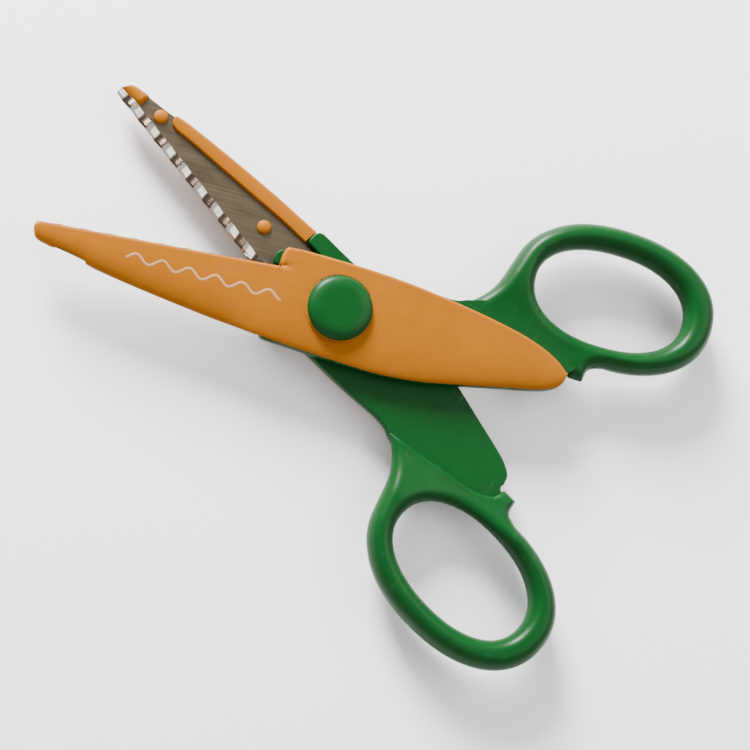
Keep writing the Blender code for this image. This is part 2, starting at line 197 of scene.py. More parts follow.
def roundedSlab(outline, low, high, roundLow, roundHigh, steps=6):
    # closed outline carried up from low to high, its two rims rounded by moving it inwards; one more
    # ring inside each rim keeps the flat faces flat
    ahead, behind = np.roll(outline, -1, 0), np.roll(outline, 1, 0)
    along = ahead - behind
    along /= np.linalg.norm(along, axis=1)[:, None]
    x, y = outline.T
    area = (x * np.roll(y, -1) - np.roll(x, -1) * y).sum()
    inward = np.stack([-along[:, 1], along[:, 0]], 1) * np.sign(area)
    turn = np.linspace(0, math.pi / 2, steps)
    lowInsets, highInsets = roundLow * (1 - np.sin(turn)), roundHigh * (1 - np.sin(turn[::-1]))
    rise, fall = roundLow * (1 - np.cos(turn)), roundHigh * (1 - np.cos(turn[::-1]))
    insets = np.concatenate([[roundLow + 0.1], lowInsets, highInsets, [roundHigh + 0.1]])
    heights = np.concatenate([[low], low + rise, high - fall, [high]])
    plan = outline[None] + inward[None] * insets[:, None, None]
    verts = np.concatenate([plan, np.broadcast_to(heights[:, None, None], plan.shape[:2] + (1,))], -1)
    return shell(verts, caps=True)


def arcPoints(radius, start, end, count):
    # points about the pivot from one angle to another, in degrees
    a = np.radians(np.linspace(start, end, count))
    return list(zip(radius * np.cos(a), radius * np.sin(a)))


def newGroup(name, inputs, outputs):
    group = bpy.data.node_groups.new(name, "ShaderNodeTree")
    for label, kind, value in inputs:
        socket = group.interface.new_socket(name=label, in_out="INPUT", socket_type=kind)
        socket.default_value = value
    for label, kind in outputs:
        group.interface.new_socket(name=label, in_out="OUTPUT", socket_type=kind)
    return group, group.nodes.new("NodeGroupInput"), group.nodes.new("NodeGroupOutput")


def addNode(tree, kind, settings=None, **values):
    node = tree.nodes.new(kind)
    for key, value in (settings or {}).items():
        setattr(node, key, value)
    for key, value in values.items():
        node.inputs[key].default_value = value
    return node


def noise(tree, coords, scale, detail=4.0, roughness=0.55, distortion=0.0):
    node = addNode(tree, "ShaderNodeTexNoise", Detail=detail, Roughness=roughness, Distortion=distortion)
    node.inputs["Scale"].default_value = scale
    tree.links.new(coords, node.inputs["Vector"])
    return node.outputs["Fac"]


def mathNode(tree, operation, a, b, clamp=False):
    node = addNode(tree, "ShaderNodeMath", {"operation": operation, "use_clamp": clamp})
    for socket, value in zip(node.inputs, (a, b)):
        if isinstance(value, (int, float)):
            socket.default_value = value
        else:
            tree.links.new(value, socket)
    return node.outputs[0]


def remap(tree, value, low, high, toLow, toHigh):
    node = addNode(tree, "ShaderNodeMapRange", {"clamp": True})
    tree.links.new(value, node.inputs["Value"])
    for label, number in (("From Min", low), ("From Max", high), ("To Min", toLow), ("To Max", toHigh)):
        node.inputs[label].default_value = number
    return node.outputs["Result"]


def mixColour(tree, factor, a, b, blend="MIX"):
    node = addNode(tree, "ShaderNodeMix", {"data_type": "RGBA", "blend_type": blend})
    for socket, value in ((node.inputs[0], factor), (node.inputs[6], a), (node.inputs[7], b)):
        if isinstance(value, (int, float, tuple)):
            socket.default_value = value
        else:
            tree.links.new(value, socket)
    return node.outputs[2]


# corrugated blade: strip along the cutting edge, ramp, flat plate; film is where the brown film starts
blade = {
    "stripWidth": 2.2, "rampWidth": 0.55, "start": 21.6, "reach": 75.1, "period": 6.1, "swing": 0.4,
    "crest": 71.0, "film": 70.0, "plate": 2.1, "thickness": 0.6, "bevel": 0.35, "rootRadius": 12.0,
    "rows": 620,
}


# moulded skin: cloudy pigment, gloss that varies, fine orange peel and sparse scuffs
def mouldedSkinGroup():
    group, start, end = newGroup(
        "mouldedSkin",
        (("Coordinates", "NodeSocketVector", (0, 0, 0)), ("Colour", "NodeSocketColor", (0.5, 0.5, 0.5, 1)),
         ("Gloss", "NodeSocketFloat", 0.3), ("Pigment", "NodeSocketFloat", 0.1),
         ("Scuffs", "NodeSocketFloat", 0.3), ("Peel", "NodeSocketFloat", 0.5)),
        (("Colour", "NodeSocketColor"), ("Roughness", "NodeSocketFloat"), ("Height", "NodeSocketFloat")))
    link = group.links.new
    coords = start.outputs["Coordinates"]
    cloud = noise(group, coords, 55.0, 5.0, 0.6)
    flow = noise(group, coords, 260.0, 3.0)
    shade = remap(group, mathNode(group, "ADD", cloud, flow), 0.7, 1.3, -1.0, 1.0)
    shade = mathNode(group, "MULTIPLY", shade, start.outputs["Pigment"])
    bright = addNode(group, "ShaderNodeHueSaturation")
    link(start.outputs["Colour"], bright.inputs["Color"])
    link(mathNode(group, "ADD", shade, 1.0), bright.inputs["Value"])
    stretch = addNode(group, "ShaderNodeMapping", Scale=(900.0, 90.0, 300.0), Rotation=(0.0, 0.0, 0.6))
    link(coords, stretch.inputs["Vector"])
    lines = noise(group, stretch.outputs[0], 1.0, 2.0, 0.5, 0.4)
    patches = remap(group, noise(group, coords, 90.0, 3.0), 0.5, 0.68, 0.0, 1.0)
    scuff = mathNode(group, "MULTIPLY", remap(group, lines, 0.62, 0.7, 0.0, 1.0), patches)
    scuff = mathNode(group, "MULTIPLY", scuff, start.outputs["Scuffs"])
    rough = mathNode(group, "MULTIPLY", mathNode(group, "ADD", cloud, -0.5), 0.12)
    rough = mathNode(group, "ADD", rough, start.outputs["Gloss"])
    rough = mathNode(group, "ADD", rough, mathNode(group, "MULTIPLY", scuff, 0.22), True)
    link(rough, end.inputs["Roughness"])
    pale = mathNode(group, "MULTIPLY", scuff, 0.12)
    link(mixColour(group, pale, bright.outputs[0], (0.9, 0.9, 0.88, 1.0)), end.inputs["Colour"])
    peel = mathNode(group, "MULTIPLY", noise(group, coords, 1400.0, 2.0), start.outputs["Peel"])
    wide = mathNode(group, "MULTIPLY", noise(group, coords, 160.0, 2.0), start.outputs["Peel"])
    height = mathNode(group, "ADD", peel, mathNode(group, "MULTIPLY", wide, 2.0))
    link(mathNode(group, "SUBTRACT", height, mathNode(group, "MULTIPLY", scuff, 0.6)), end.inputs["Height"])
    return group


# worn or lightened edges, from how sharply the surface turns
def edgeWearGroup():
    group, start, end = newGroup(
        "edgeWear",
        (("Coordinates", "NodeSocketVector", (0, 0, 0)), ("Colour", "NodeSocketColor", (0.5, 0.5, 0.5, 1)),
         ("Worn", "NodeSocketColor", (0.8, 0.8, 0.8, 1)), ("Amount", "NodeSocketFloat", 0.3)),
        (("Colour", "NodeSocketColor"),))
    link = group.links.new
    turn = group.nodes.new("ShaderNodeNewGeometry").outputs["Pointiness"]
    edge = remap(group, turn, 0.52, 0.60, 0.0, 1.0)
    broken = remap(group, noise(group, start.outputs["Coordinates"], 700.0, 4.0), 0.35, 0.65, 0.3, 1.0)
    mask = mathNode(group, "MULTIPLY", mathNode(group, "MULTIPLY", edge, broken), start.outputs["Amount"])
    link(mixColour(group, mask, start.outputs["Colour"], start.outputs["Worn"]), end.inputs["Colour"])
    return group


# rolled steel: streaks along the blade, tiny pits and handling smears
def rolledSteelGroup():
    group, start, end = newGroup(
        "rolledSteel",
        (("Coordinates", "NodeSocketVector", (0, 0, 0)), ("Colour", "NodeSocketColor", (0.5, 0.5, 0.5, 1)),
         ("Stain", "NodeSocketColor", (0.3, 0.26, 0.2, 1)), ("Gloss", "NodeSocketFloat", 0.3),
         ("Turn", "NodeSocketFloat", 0.0)),
        (("Colour", "NodeSocketColor"), ("Roughness", "NodeSocketFloat"), ("Height", "NodeSocketFloat")))
    link = group.links.new
    spin = addNode(group, "ShaderNodeVectorRotate", {"rotation_type": "Z_AXIS"})
    link(start.outputs["Coordinates"], spin.inputs["Vector"])
    link(start.outputs["Turn"], spin.inputs["Angle"])
    stretch = addNode(group, "ShaderNodeMapping", Scale=(60.0, 2600.0, 2600.0))
    link(spin.outputs[0], stretch.inputs["Vector"])
    streaks = noise(group, stretch.outputs[0], 1.0, 4.0, 0.6)
    smear = noise(group, start.outputs["Coordinates"], 130.0, 5.0, 0.6, 0.6)
    pits = remap(group, noise(group, start.outputs["Coordinates"], 2300.0, 2.0), 0.68, 0.74, 0.0, 1.0)
    stained = remap(group, smear, 0.4, 0.7, 0.0, 0.55)
    tone = mixColour(group, stained, start.outputs["Colour"], start.outputs["Stain"])
    grain = remap(group, streaks, 0.3, 0.7, 0.0, 0.3)
    tone = mixColour(group, grain, tone, (0.75, 0.73, 0.7, 1.0), "OVERLAY")
    tone = mixColour(group, mathNode(group, "MULTIPLY", pits, 0.4), tone, (0.05, 0.045, 0.04, 1.0))
    link(tone, end.inputs["Colour"])
    rough = mathNode(group, "ADD", start.outputs["Gloss"], remap(group, smear, 0.3, 0.7, -0.06, 0.12))
    rough = mathNode(group, "ADD", rough, remap(group, streaks, 0.3, 0.7, -0.05, 0.08), True)
    link(rough, end.inputs["Roughness"])
    link(mathNode(group, "SUBTRACT", streaks, pits), end.inputs["Height"])
    return group


groups = {"skin": mouldedSkinGroup(), "wear": edgeWearGroup(), "steel": rolledSteelGroup()}


def newMaterial(name):
    material = bpy.data.materials.new(name)
    material.use_nodes = True
    tree = material.node_tree
    shader = tree.nodes["Principled BSDF"]
    coords = tree.nodes.new("ShaderNodeTexCoord").outputs["Object"]
    return material, tree, shader, coords


def useGroup(tree, key, coords, **values):
    node = tree.nodes.new("ShaderNodeGroup")
    node.node_tree = groups[key]
    tree.links.new(coords, node.inputs["Coordinates"])
    for label, value in values.items():
        node.inputs[label].default_value = value
    return node


def bumpNode(tree, height, shader, strength, distance):
    bump = addNode(tree, "ShaderNodeBump", Strength=strength, Distance=distance)
    tree.links.new(height, bump.inputs["Height"])
    tree.links.new(bump.outputs[0], shader.inputs["Normal"])


plasticLooks = {
    "greenPlastic": {
        "colour": (0.0018, 0.041, 0.0066, 1), "gloss": 0.33, "pigment": 0.10, "scuffs": 0.13, "peel": 0.5,
        "worn": (0.009, 0.115, 0.027, 1), "wear": 0.14, "subsurface": 0.0, "specular": 0.11},
    "orangePlastic": {
        "colour": (0.25, 0.077, 0.0, 1), "gloss": 0.45, "pigment": 0.06, "scuffs": 0.12, "peel": 0.6,
        "worn": (0.46, 0.185, 0.012, 1), "wear": 0.16, "subsurface": 0.05, "specular": 0.11},
}


def plasticMaterial(name):
    look = plasticLooks[name]
    material, tree, shader, coords = newMaterial(name)
    link = tree.links.new
    skin = useGroup(tree, "skin", coords, Colour=look["colour"], Gloss=look["gloss"],
                    Pigment=look["pigment"], Scuffs=look["scuffs"], Peel=look["peel"])
    wear = useGroup(tree, "wear", coords, Worn=look["worn"], Amount=look["wear"])
    link(skin.outputs["Colour"], wear.inputs["Colour"])
    link(wear.outputs["Colour"], shader.inputs["Base Color"])
    link(skin.outputs["Roughness"], shader.inputs["Roughness"])
    bumpNode(tree, skin.outputs["Height"], shader, 0.22, 0.00006)
    shader.inputs["Specular IOR Level"].default_value = look["specular"]
    shader.inputs["Subsurface Weight"].default_value = look["subsurface"]
    shader.inputs["Subsurface Scale"].default_value = 0.0015
    return material


# the plate's steel colour is a dark brownish grey, far darker than the strip steel of the same blade:
# painted reflection of dark surroundings on the flat plate; its stain and edge wear are real marks
plateLookWithPaintedReflection = {"colour": (0.095, 0.076, 0.051, 1), "stain": (0.064, 0.05, 0.032, 1), "gloss": 0.36,
             "wear": 0.25, "tarnish": 0.0}
steelLooks = {
    "bladeSteelRear": {**plateLookWithPaintedReflection, "turn": -halfAngle},
    "bladeSteelFront": {**plateLookWithPaintedReflection, "turn": halfAngle},
    "stripSteel": {"colour": (0.52, 0.495, 0.45, 1), "stain": (0.29, 0.235, 0.175, 1), "gloss": 0.14,
                   "turn": 0.0, "wear": 0.5, "tarnish": 1.0},
    "rivetSteel": {"colour": (0.55, 0.55, 0.56, 1), "stain": (0.42, 0.40, 0.37, 1), "gloss": 0.3,
                   "turn": 0.0, "wear": 0.4, "tarnish": 0.0},
}


def steelMaterial(name):
    look = steelLooks[name]
    material, tree, shader, coords = newMaterial(name)
    link = tree.links.new
    steel = useGroup(tree, "steel", coords, Colour=look["colour"], Stain=look["stain"],
                     Gloss=look["gloss"], Turn=look["turn"])
    wear = useGroup(tree, "wear", coords, Worn=(0.5, 0.48, 0.44, 1), Amount=look["wear"])
    # brown film left where the corrugation dips: a band of distance from the pivot, once a period
    away = addNode(tree, "ShaderNodeVectorMath", {"operation": "LENGTH"})
    flat = addNode(tree, "ShaderNodeMapping", Scale=(1000.0, 1000.0, 0.0))
    link(coords, flat.inputs["Vector"])
    link(flat.outputs[0], away.inputs[0])
    pastFilm = mathNode(tree, "ADD", away.outputs["Value"], -blade["film"])
    phase = mathNode(tree, "MULTIPLY", pastFilm, 2 * math.pi / blade["period"])
    ragged = mathNode(tree, "ADD", mathNode(tree, "SINE", phase, 0.0), noise(tree, coords, 900.0, 3.0))
    film = mathNode(tree, "MULTIPLY", remap(tree, ragged, 0.35, 0.75, 0.0, 0.93), look["tarnish"])
    filmed = mixColour(tree, film, steel.outputs["Colour"], (0.055, 0.032, 0.018, 1))
    link(filmed, wear.inputs["Colour"])
    link(wear.outputs["Colour"], shader.inputs["Base Color"])
    link(steel.outputs["Roughness"], shader.inputs["Roughness"])
    bumpNode(tree, steel.outputs["Height"], shader, 0.12, 0.00003)
    shader.inputs["Metallic"].default_value = 1.0
    return material


# pale pad-printed ink, slightly uneven, with the orange showing where it is thin
def inkMaterial():
    material, tree, shader, coords = newMaterial("waveInk")
    link = tree.links.new
    skin = useGroup(tree, "skin", coords, Colour=(0.38, 0.19, 0.095, 1), Gloss=0.5, Pigment=0.12,
                    Scuffs=0.5, Peel=0.8)
    link(skin.outputs["Roughness"], shader.inputs["Roughness"])
    thin = remap(tree, noise(tree, coords, 1500.0, 3.0), 0.45, 0.75, 0.0, 0.55)
    link(mixColour(tree, thin, skin.outputs["Colour"], (0.32, 0.12, 0.03, 1)), shader.inputs["Base Color"])
    bumpNode(tree, skin.outputs["Height"], shader, 0.2, 0.00003)
    return material


def nylonMaterial():
    material, tree, shader, coords = newMaterial("washerNylon")
    skin = useGroup(tree, "skin", coords, Colour=(0.8, 0.79, 0.74, 1), Gloss=0.5, Pigment=0.05,
                    Scuffs=0.4, Peel=0.4)
    tree.links.new(skin.outputs["Colour"], shader.inputs["Base Color"])
    tree.links.new(skin.outputs["Roughness"], shader.inputs["Roughness"])
    bumpNode(tree, skin.outputs["Height"], shader, 0.2, 0.00004)
    return material


finishes = {name: plasticMaterial(name) for name in plasticLooks}
finishes.update({name: steelMaterial(name) for name in steelLooks})
finishes["waveInk"] = inkMaterial()
finishes["washerNylon"] = nylonMaterial()
print("finishes made")


# edges that several mouldings share: the spine from tip to tail, the rim's inner side and the line of
# the cutting edge, v = edgeOffset + edgeSlope u
outline = {
    "spine": ((-75.3, 0.5), (-74.9, 1.5), (-74.2, 2.35), (-72.8, 2.95), (-71.2, 3.3), (-69.7, 3.6),
              (-66.0, 4.2), (-62.4, 4.9), (-60.6, 5.5), (-58.0, 6.1), (-54.0, 6.75), (-48.0, 7.65),
              (-42.0, 8.45), (-36.0, 9.2), (-30.0, 9.9), (-24.0, 10.5), (-17.0, 11.25), (-12.3, 11.65),
              (1.0, 12.4), (12.0, 12.8), (21.0, 12.2), (33.8, 9.9), (44.3, 7.7), (53.1, 5.8),
              (56.2, 4.5), (57.4, 3.6), (58.1, 2.3), (58.5, 0.4)),
    "rimInner": ((-61.6, 4.7), (-61.2, 3.6), (-60.3, 2.75), (-58.9, 2.45), (-56.7, 2.75), (-53.0, 3.25),
                 (-49.9, 3.55), (-36.4, 5.05), (-24.0, 6.4), (-20.5, 6.6), (-16.1, 6.8)),
    "edgeOffset": -8.58, "edgeSlope": -0.0836,
}


def spineEdge(u):
    return smoothCurve(u, outline["spine"])


def cuttingEdge(u):
    return outline["edgeOffset"] + outline["edgeSlope"] * u


# ring, neck and nub; neck and nub points are (angle round the ring, u, v)
handle = {
    "ringCentre": (65.8, -21.3), "ringHole": (19.5, 12.0), "holeTilt": 1.2,
    "outerCentre": (66.9, -22.0), "outerSize": (25.9, 17.8), "outerTilt": 2.8, "ringPower": 2.2,
    "ringHeight": 4.4, "ringRound": 3.2, "nubRound": 1.0,
    "ridgeHeight": 1.9, "ridgeRound": 0.95, "ridgeSlope": 13.0,
    "neck": ((209, 44.9, -33.05), (203, 43.1, -31.0), (197.5, 41.8, -29.0), (192, 40.85, -26.9),
             (187, 40.0, -24.7), (182, 39.1, -22.2), (177, 38.1, -19.6), (172, 36.9, -17.2),
             (168, 35.4, -15.2), (163.5, 33.5, -13.3), (159, 31.4, -11.7), (155, 30.0, -10.9)),
    "nub": ((106, 58.9, -2.2), (103.5, 59.2, -0.3), (102, 59.6, 0.3), (97, 62.95, 0.5),
            (92, 63.9, -2.3), (89.5, 64.6, -3.1), (86.5, 66.1, -3.75)),
    "ridgeAngles": (151, 142, 134, 126, 119, 113), "ridgeAt": (31.8, 38.3, 44.6, 50.0, 54.6, 57.6),
    "ringRows": 300, "ringAcross": 40,
}


def superellipse(degrees, centre, size, tilt):
    a = np.radians(degrees)
    c, s = np.cos(a), np.sin(a)
    power = handle["ringPower"]
    radius = (np.abs(c / size[0]) ** power + np.abs(s / size[1]) ** power) ** (-1 / power)
    t = math.radians(tilt)
    return np.stack([centre[0] + radius * (c * math.cos(t) - s * math.sin(t)),
                     centre[1] + radius * (c * math.sin(t) + s * math.cos(t))], -1)


# outer edge of the ring body: superellipse, neck curve, ridge beside the other arm, closing nub
def ringEdge(degrees):
    ridge = [(a, u, -float(spineEdge(u - 0.3))) for a, u in zip(handle["ridgeAngles"], handle["ridgeAt"])]
    ends = [(a, *superellipse(a, handle["outerCentre"], handle["outerSize"], handle["outerTilt"]))
            for a in (76, 84, 215, 220)]
    table = np.array(sorted(ends + list(handle["neck"]) + ridge + list(handle["nub"])))
    curve = np.stack([smoothCurve(degrees, table[:, [0, 1]]), smoothCurve(degrees, table[:, [0, 2]])], -1)
    ring = superellipse(degrees, handle["outerCentre"], handle["outerSize"], handle["outerTilt"])
    return np.where(((degrees > 78) & (degrees < 217))[:, None], curve, ring)


# ring, neck and nub: a plan grid (angle round the hole, share of the way out) whose inner and outer
# skins are heights from the distances to the hole, the round edges, the nub and the ridge
def ringBody():
    rows, across = handle["ringRows"], handle["ringAcross"]
    share = np.linspace(0, 1, rows, endpoint=False)
    angles = np.concatenate([88 + 72 * share[::2], 160 + 55 * share[::4], 215 + 233 * share[::2]])
    hole = superellipse(angles, handle["ringCentre"], handle["ringHole"], handle["holeTilt"])
    outer = ringEdge(angles % 360)
    out = (1 - np.cos(np.linspace(0, math.pi, across))) / 2
    plan = (hole[:, None] + (outer - hole)[:, None] * out[None, :, None]).reshape(-1, 2)
    holeAngles = np.linspace(76, 436, 361)
    holeLine = superellipse(holeAngles, handle["ringCentre"], handle["ringHole"], handle["holeTilt"])
    roundLine = ringEdge(np.linspace(155, 463, 400) % 360)
    nubLine = ringEdge(np.linspace(89, 104, 60))
    ridgeLine = ringEdge(np.linspace(104, 154, 120))
    fromHole = quarterRound(lineDistance(plan, holeLine) / handle["ringRound"])
    fromEdge = quarterRound(lineDistance(plan, roundLine) / handle["ringRound"])
    fromNub = quarterRound(lineDistance(plan, nubLine) / handle["nubRound"])
    fromRidge = lineDistance(plan, ridgeLine)
    blend = smoothStep(fromRidge, 0, handle["ridgeSlope"])
    soft = 0.3 + 0.7 * quarterRound(fromRidge / handle["ridgeRound"])
    sides = fromHole * fromEdge * fromNub
    full, low = handle["ringHeight"], handle["ridgeHeight"]
    inner = -(low + (full - low) * blend) * sides * soft
    outerSkin = (arm["outer"] + (full - arm["outer"]) * blend) * sides
    plan = plan.reshape(len(angles), across, 2)
    inner = np.minimum(inner.reshape(len(angles), across, 1), -0.02)
    outerSkin = np.maximum(outerSkin.reshape(len(angles), across, 1), 0.02)
    up = np.concatenate([plan, inner], -1)
    down = np.concatenate([plan, outerSkin], -1)[:, ::-1]
    return shell(np.concatenate([up, down], 1), wrapRows=True)


# flat arm: its outline runs along the cutting side, inside the neck, back along the spine, then round
# the spine finger, the hollow about the pivot and the cutting-side finger
arm = {
    "outer": 2.75, "roundInner": 0.45, "roundOuter": 0.3, "points": 420,
    "cutSide": ((-17.2, -10.5), (-16.0, -11.2), (-14.0, -11.55), (-10.6, -11.75), (-5, -12.0), (0, -12.15),
                (10, -11.7), (18, -11.1), (25, -10.35), (28.5, -10.55), (31, -11.4)),
    "buried": ((38, -12.5), (50, -9.0), (57.5, -6.0), (60.6, -3.0), (60.0, -1.0), (58.3, 0.3)),
    "spineAt": (58.3, 57.5, 56.2, 54.8, 53, 48.5, 44, 39, 34, 29, 24, 18, 12, 5, -2, -10),
    "spineFinger": ((-15.2, 11.6), (-16.6, 11.3), (-17.35, 10.4), (-17.5, 9.2), (-17.3, 7.7), (-16.5, 7.2),
                    (-14.0, 7.2)),
    "hollowRadius": 13.5,
    "cutFinger": ((-16.2, -7.1), (-17.3, -7.3), (-17.8, -8.1), (-17.8, -9.5)),
    "tangRadius": 7.5, "tangInner": 1.8, "washerRadius": 6.3, "washerDepth": 0.8,
}
boreRadius = 2.6


def armOutline():
    stations = np.array(arm["spineAt"])
    spineSide = list(zip(stations, spineEdge(stations)))
    hollow = arcPoints(arm["hollowRadius"], 149, 205, 8)
    front = list(arm["spineFinger"]) + hollow + list(arm["cutFinger"])
    return closedSpline(list(arm["cutSide"] + arm["buried"]) + spineSide + front, arm["points"])


def disc(radius, low, high, half):
    verts, faces = turned([(0, low), (radius, low), (radius, high), (0, high)], 96)
    return makePiece("tool", verts, faces, half, finishes["greenPlastic"])


def joinInto(piece, other):
    with bpy.context.temp_override(active_object=piece, selected_editable_objects=[piece, other],
                                   selected_objects=[piece, other], object=piece):
        bpy.ops.object.join()


def buildHandle(half):
    green = finishes["greenPlastic"]
    slab = roundedSlab(armOutline(), slideGap, arm["outer"] - 0.04, arm["roundInner"], arm["roundOuter"])
    flat = makePiece(half + "_arm", *slab, half, green)
    end = arcPoints(arm["tangRadius"], -75, 75, 15)
    tang = np.array([(-24, -7.2), (-12, -7.2)] + end + [(-12, 6.3), (-24, 5.7)])
    pocket = makePiece("tool", *roundedSlab(tang, arm["tangInner"], 4.0, 0.01, 0.01, 2), half, green)
    bore = disc(boreRadius, -1, 7, half)
    washerSeat = disc(arm["washerRadius"], -1, arm["washerDepth"], half)
    cutAway(flat, pocket, bore, washerSeat)
    ring = makePiece(half + "_handle_moulding", *ringBody(), half, green, 50)
    joinInto(ring, flat)
    place(ring, half, "green_plastic", half + "_handle")


# blade cover: seat is its underside, rimTop the inner edge of the knob and the rim beside the blade
cover = {
    "cutEdge": ((-14.5, -11.6), (-10.6, -11.8), (0.0, -11.7), (9.6, -11.35), (25.2, -9.7), (42.7, -6.65),
                (50.0, -4.6), (55.5, -2.0), (58.2, 0.2)),
    "seat": 3.05, "tipHeight": 3.9, "bladeHeight": 4.85, "armHeight": 5.2, "tailHeight": 4.6,
    "rimTop": 1.05, "step": (-16.45, -14.55),
    "tipEnd": -75.35, "knobStart": -69.6, "rimStart": -61.8, "rimEnd": -17.75,
    "edgeGap": 0.75, "edgeRound": 0.9, "setIn": 0.45, "wellRadius": 6.9, "wellFloor": 4.0,
    "pegs": ((-63.8, 2.1), (-27.1, 2.1)), "pegRadius": 1.77,
    "boss": ((7.1, 3.4), (8.35, 3.4), (8.35, 5.1), (8.25, 5.2), (7.1, 5.2)),
    "stations": 300,
}


# distance of the knob's inner wall from the cutting edge, closing in on it towards the tip
def knobInset(u):
    return 2.62 - 0.2 * np.clip(cover["knobStart"] - u, 0, 5.5)


def bladeCut(u):
    return cuttingEdge(u) + cover["edgeGap"]


def coverCutEdge(u):
    start, end = cover["step"]
    drop = float(bladeCut(start)) - cover["cutEdge"][0][1]
    along = np.clip((u - start) / (end - start), 0, 1)
    corner = bladeCut(start) - drop * (1 - (1 - along) ** 3) ** (1 / 3)
    return np.where(u < start, bladeCut(u), np.where(u < end, corner, smoothCurve(u, cover["cutEdge"])))


# cut edge, spine edge and crown height of the cover at u, drawn in to a round tip
def coverFrame(u):
    tip = quarterRound((u - cover["tipEnd"]) / 1.2)
    nose = quarterRound((u - cover["tipEnd"]) / 3.0)
    cut, spine = coverCutEdge(u), spineEdge(u)
    middle = 0.35 * cut + 0.65 * spine
    cut, spine = middle + (cut - middle) * tip, middle + (spine - middle) * tip
    heights = ((-75.1, cover["tipHeight"]), (-20.0, cover["bladeHeight"]), (-12.0, cover["armHeight"]),
               (40.0, cover["armHeight"]), (58.2, cover["tailHeight"]))
    top = smoothCurve(u, heights)
    return cut, spine, cover["seat"] + (top - cover["seat"]) * (0.45 + 0.55 * nose)


# height of the outer face: a quarter-ellipse up from the spine, then a flat band to the cutting side,
# with a short groove where the blade's rounded edge runs out into the arm
def crownHeight(u, v, spine, top):
    edge = spineHeight(u)
    blend = smoothStep(u, -30, -6)
    reach = 0.72 * (spine - (1 - blend) * bladeCut(u) - blend * smoothCurve(u, cover["cutEdge"]))
    fall = np.clip(1 - (spine - v) / reach, 0, 1)
    arch = edge + (top - edge) * np.sqrt(np.maximum(1 - fall ** 2.2, 0))
    past = v - bladeCut(u)
    side = np.where(past > 0, 1 - quarterRound(past / cover["edgeRound"]), 1 - smoothStep(-past, 0, 0.9))
    return arch - 0.5 * side * smoothStep(-u, 12.0, 16.0) * (u > cover["step"][0])


# height at which the outer face meets the spine wall: low along the blade, just over the seat on the arm
def spineHeight(u):
    return 2.3 + 1.15 * smoothStep(u, -30, cover["rimEnd"])


# places along the cover, closer together at tip, knob, step and tail
def coverStations():
    share = np.linspace(0, 1, cover["stations"])
    tipPart = cover["tipEnd"] + 0.01 + 1.7 * share[::6] ** 2
    bladePart = np.linspace(-73.6, -16.6, len(share))
    stepPart = np.linspace(-16.5, -14.3, 50)
    armPart = np.linspace(-14.0, 54.0, len(share) // 2)
    tailPart = 58.45 - 4.3 * (1 - share[1::6]) ** 2
    knobPart = cover["knobStart"] + 0.6 - 1.3 * share[::15] ** 2
    rimPart = cover["rimEnd"] + np.array([-0.02, 0.02])
    return np.unique(np.concatenate([tipPart, bladePart, stepPart, armPart, tailPart, knobPart, rimPart]))


# rows of points round the section: seat, inner wall, rim or knob, spine wall, then back over the crown
def coverBody():
    u = coverStations()
    cut, spine, top = coverFrame(u)
    width = spine - cut
    knob = quarterRound((cover["knobStart"] + 0.6 - u) / 1.3)
    rim = smoothStep(u, cover["rimStart"], cover["rimStart"] + 0.6) * (u < cover["rimEnd"]) + knob
    atKnob = u < cover["knobStart"] + 0.7
    inner = np.where(atKnob, cuttingEdge(u) + knobInset(u), smoothCurve(u, outline["rimInner"]))
    # between knob and rim there is no spine wall, and the cover's edge is set in a little
    skirt = spine - cover["setIn"] * (1 - rim) * (u < cover["rimEnd"])
    inner = np.minimum(np.maximum(inner, cut + 0.3 * width), skirt - 0.3 * np.minimum(width, 1.0))
    seat, low = cover["seat"], cover["seat"] - rim * (cover["seat"] - cover["rimTop"])
    edge = np.maximum(spineHeight(u), seat + 0.07 - 0.82 * rim)
    span = skirt - inner
    slope = np.minimum(np.where(knob > 0.1, 1.5, 0.45), 0.45 * span)
    lip = np.minimum(np.where(knob > 0.1, 1.5, 1.0), 0.45 * span)
    rows = []

    def add(v, h):
        rows.append(np.stack([u, v, h * np.ones_like(u)], -1))

    add(cut + 0.1, seat)
    add(0.5 * (cut + inner), seat)
    add(inner, seat)
    wallTop = low + 0.45 * (seat - low) * rim
    add(inner + 0.15 * slope, 0.5 * (seat + wallTop))
    for turn in np.radians(np.linspace(0, 90, 7)):
        add(inner + 0.15 * slope + slope * (1 - np.cos(turn)), wallTop + (low - wallTop) * np.sin(turn))
    add(0.5 * (inner + skirt), low)
    for turn in np.radians(np.linspace(0, 90, 8)):
        add(skirt - lip + lip * np.sin(turn), low + (edge - low) * (1 - np.cos(turn)) * 0.8)
    # walk back over the crown from the spine edge, closer together towards the cutting side
    reach = np.concatenate([1 - np.linspace(0, 1, 40)[1:] ** 1.5 * 0.86, np.linspace(0.14, 0.0, 22)[1:]])
    v = cut + (skirt - cut) * reach[:, None]
    plan = np.stack([np.broadcast_to(u, v.shape), v], -1).reshape(-1, 2)
    fromCut = lineDistance(plan, np.stack([u, cut], -1)[::2]).reshape(v.shape) / cover["edgeRound"]
    crown = np.maximum(crownHeight(u[None], v, spine[None], top[None]), edge)
    drop = np.minimum(cover["edgeRound"], 0.6 * (crown - seat))
    for line, height in zip(v, crown - drop * (1 - quarterRound(fromCut))):
        add(line, height)
    add(cut, seat + 0.12)
    return shell(np.stack(rows, 1), caps=True)


# domed head on the inner side and a short stem up into the cover
def pegHead(centre):
    turns = np.linspace(0.15, math.pi / 2, 10)
    dome = [(cover["pegRadius"] * math.sin(t), 1.05 + 0.85 * (1 - math.cos(t))) for t in turns]
    stem = [(1.5, 2.08), (1.1, 2.1), (1.1, 3.4), (0.0, 3.4)]
    return turned([(0.0, 1.05)] + dome + stem, 40, centre)


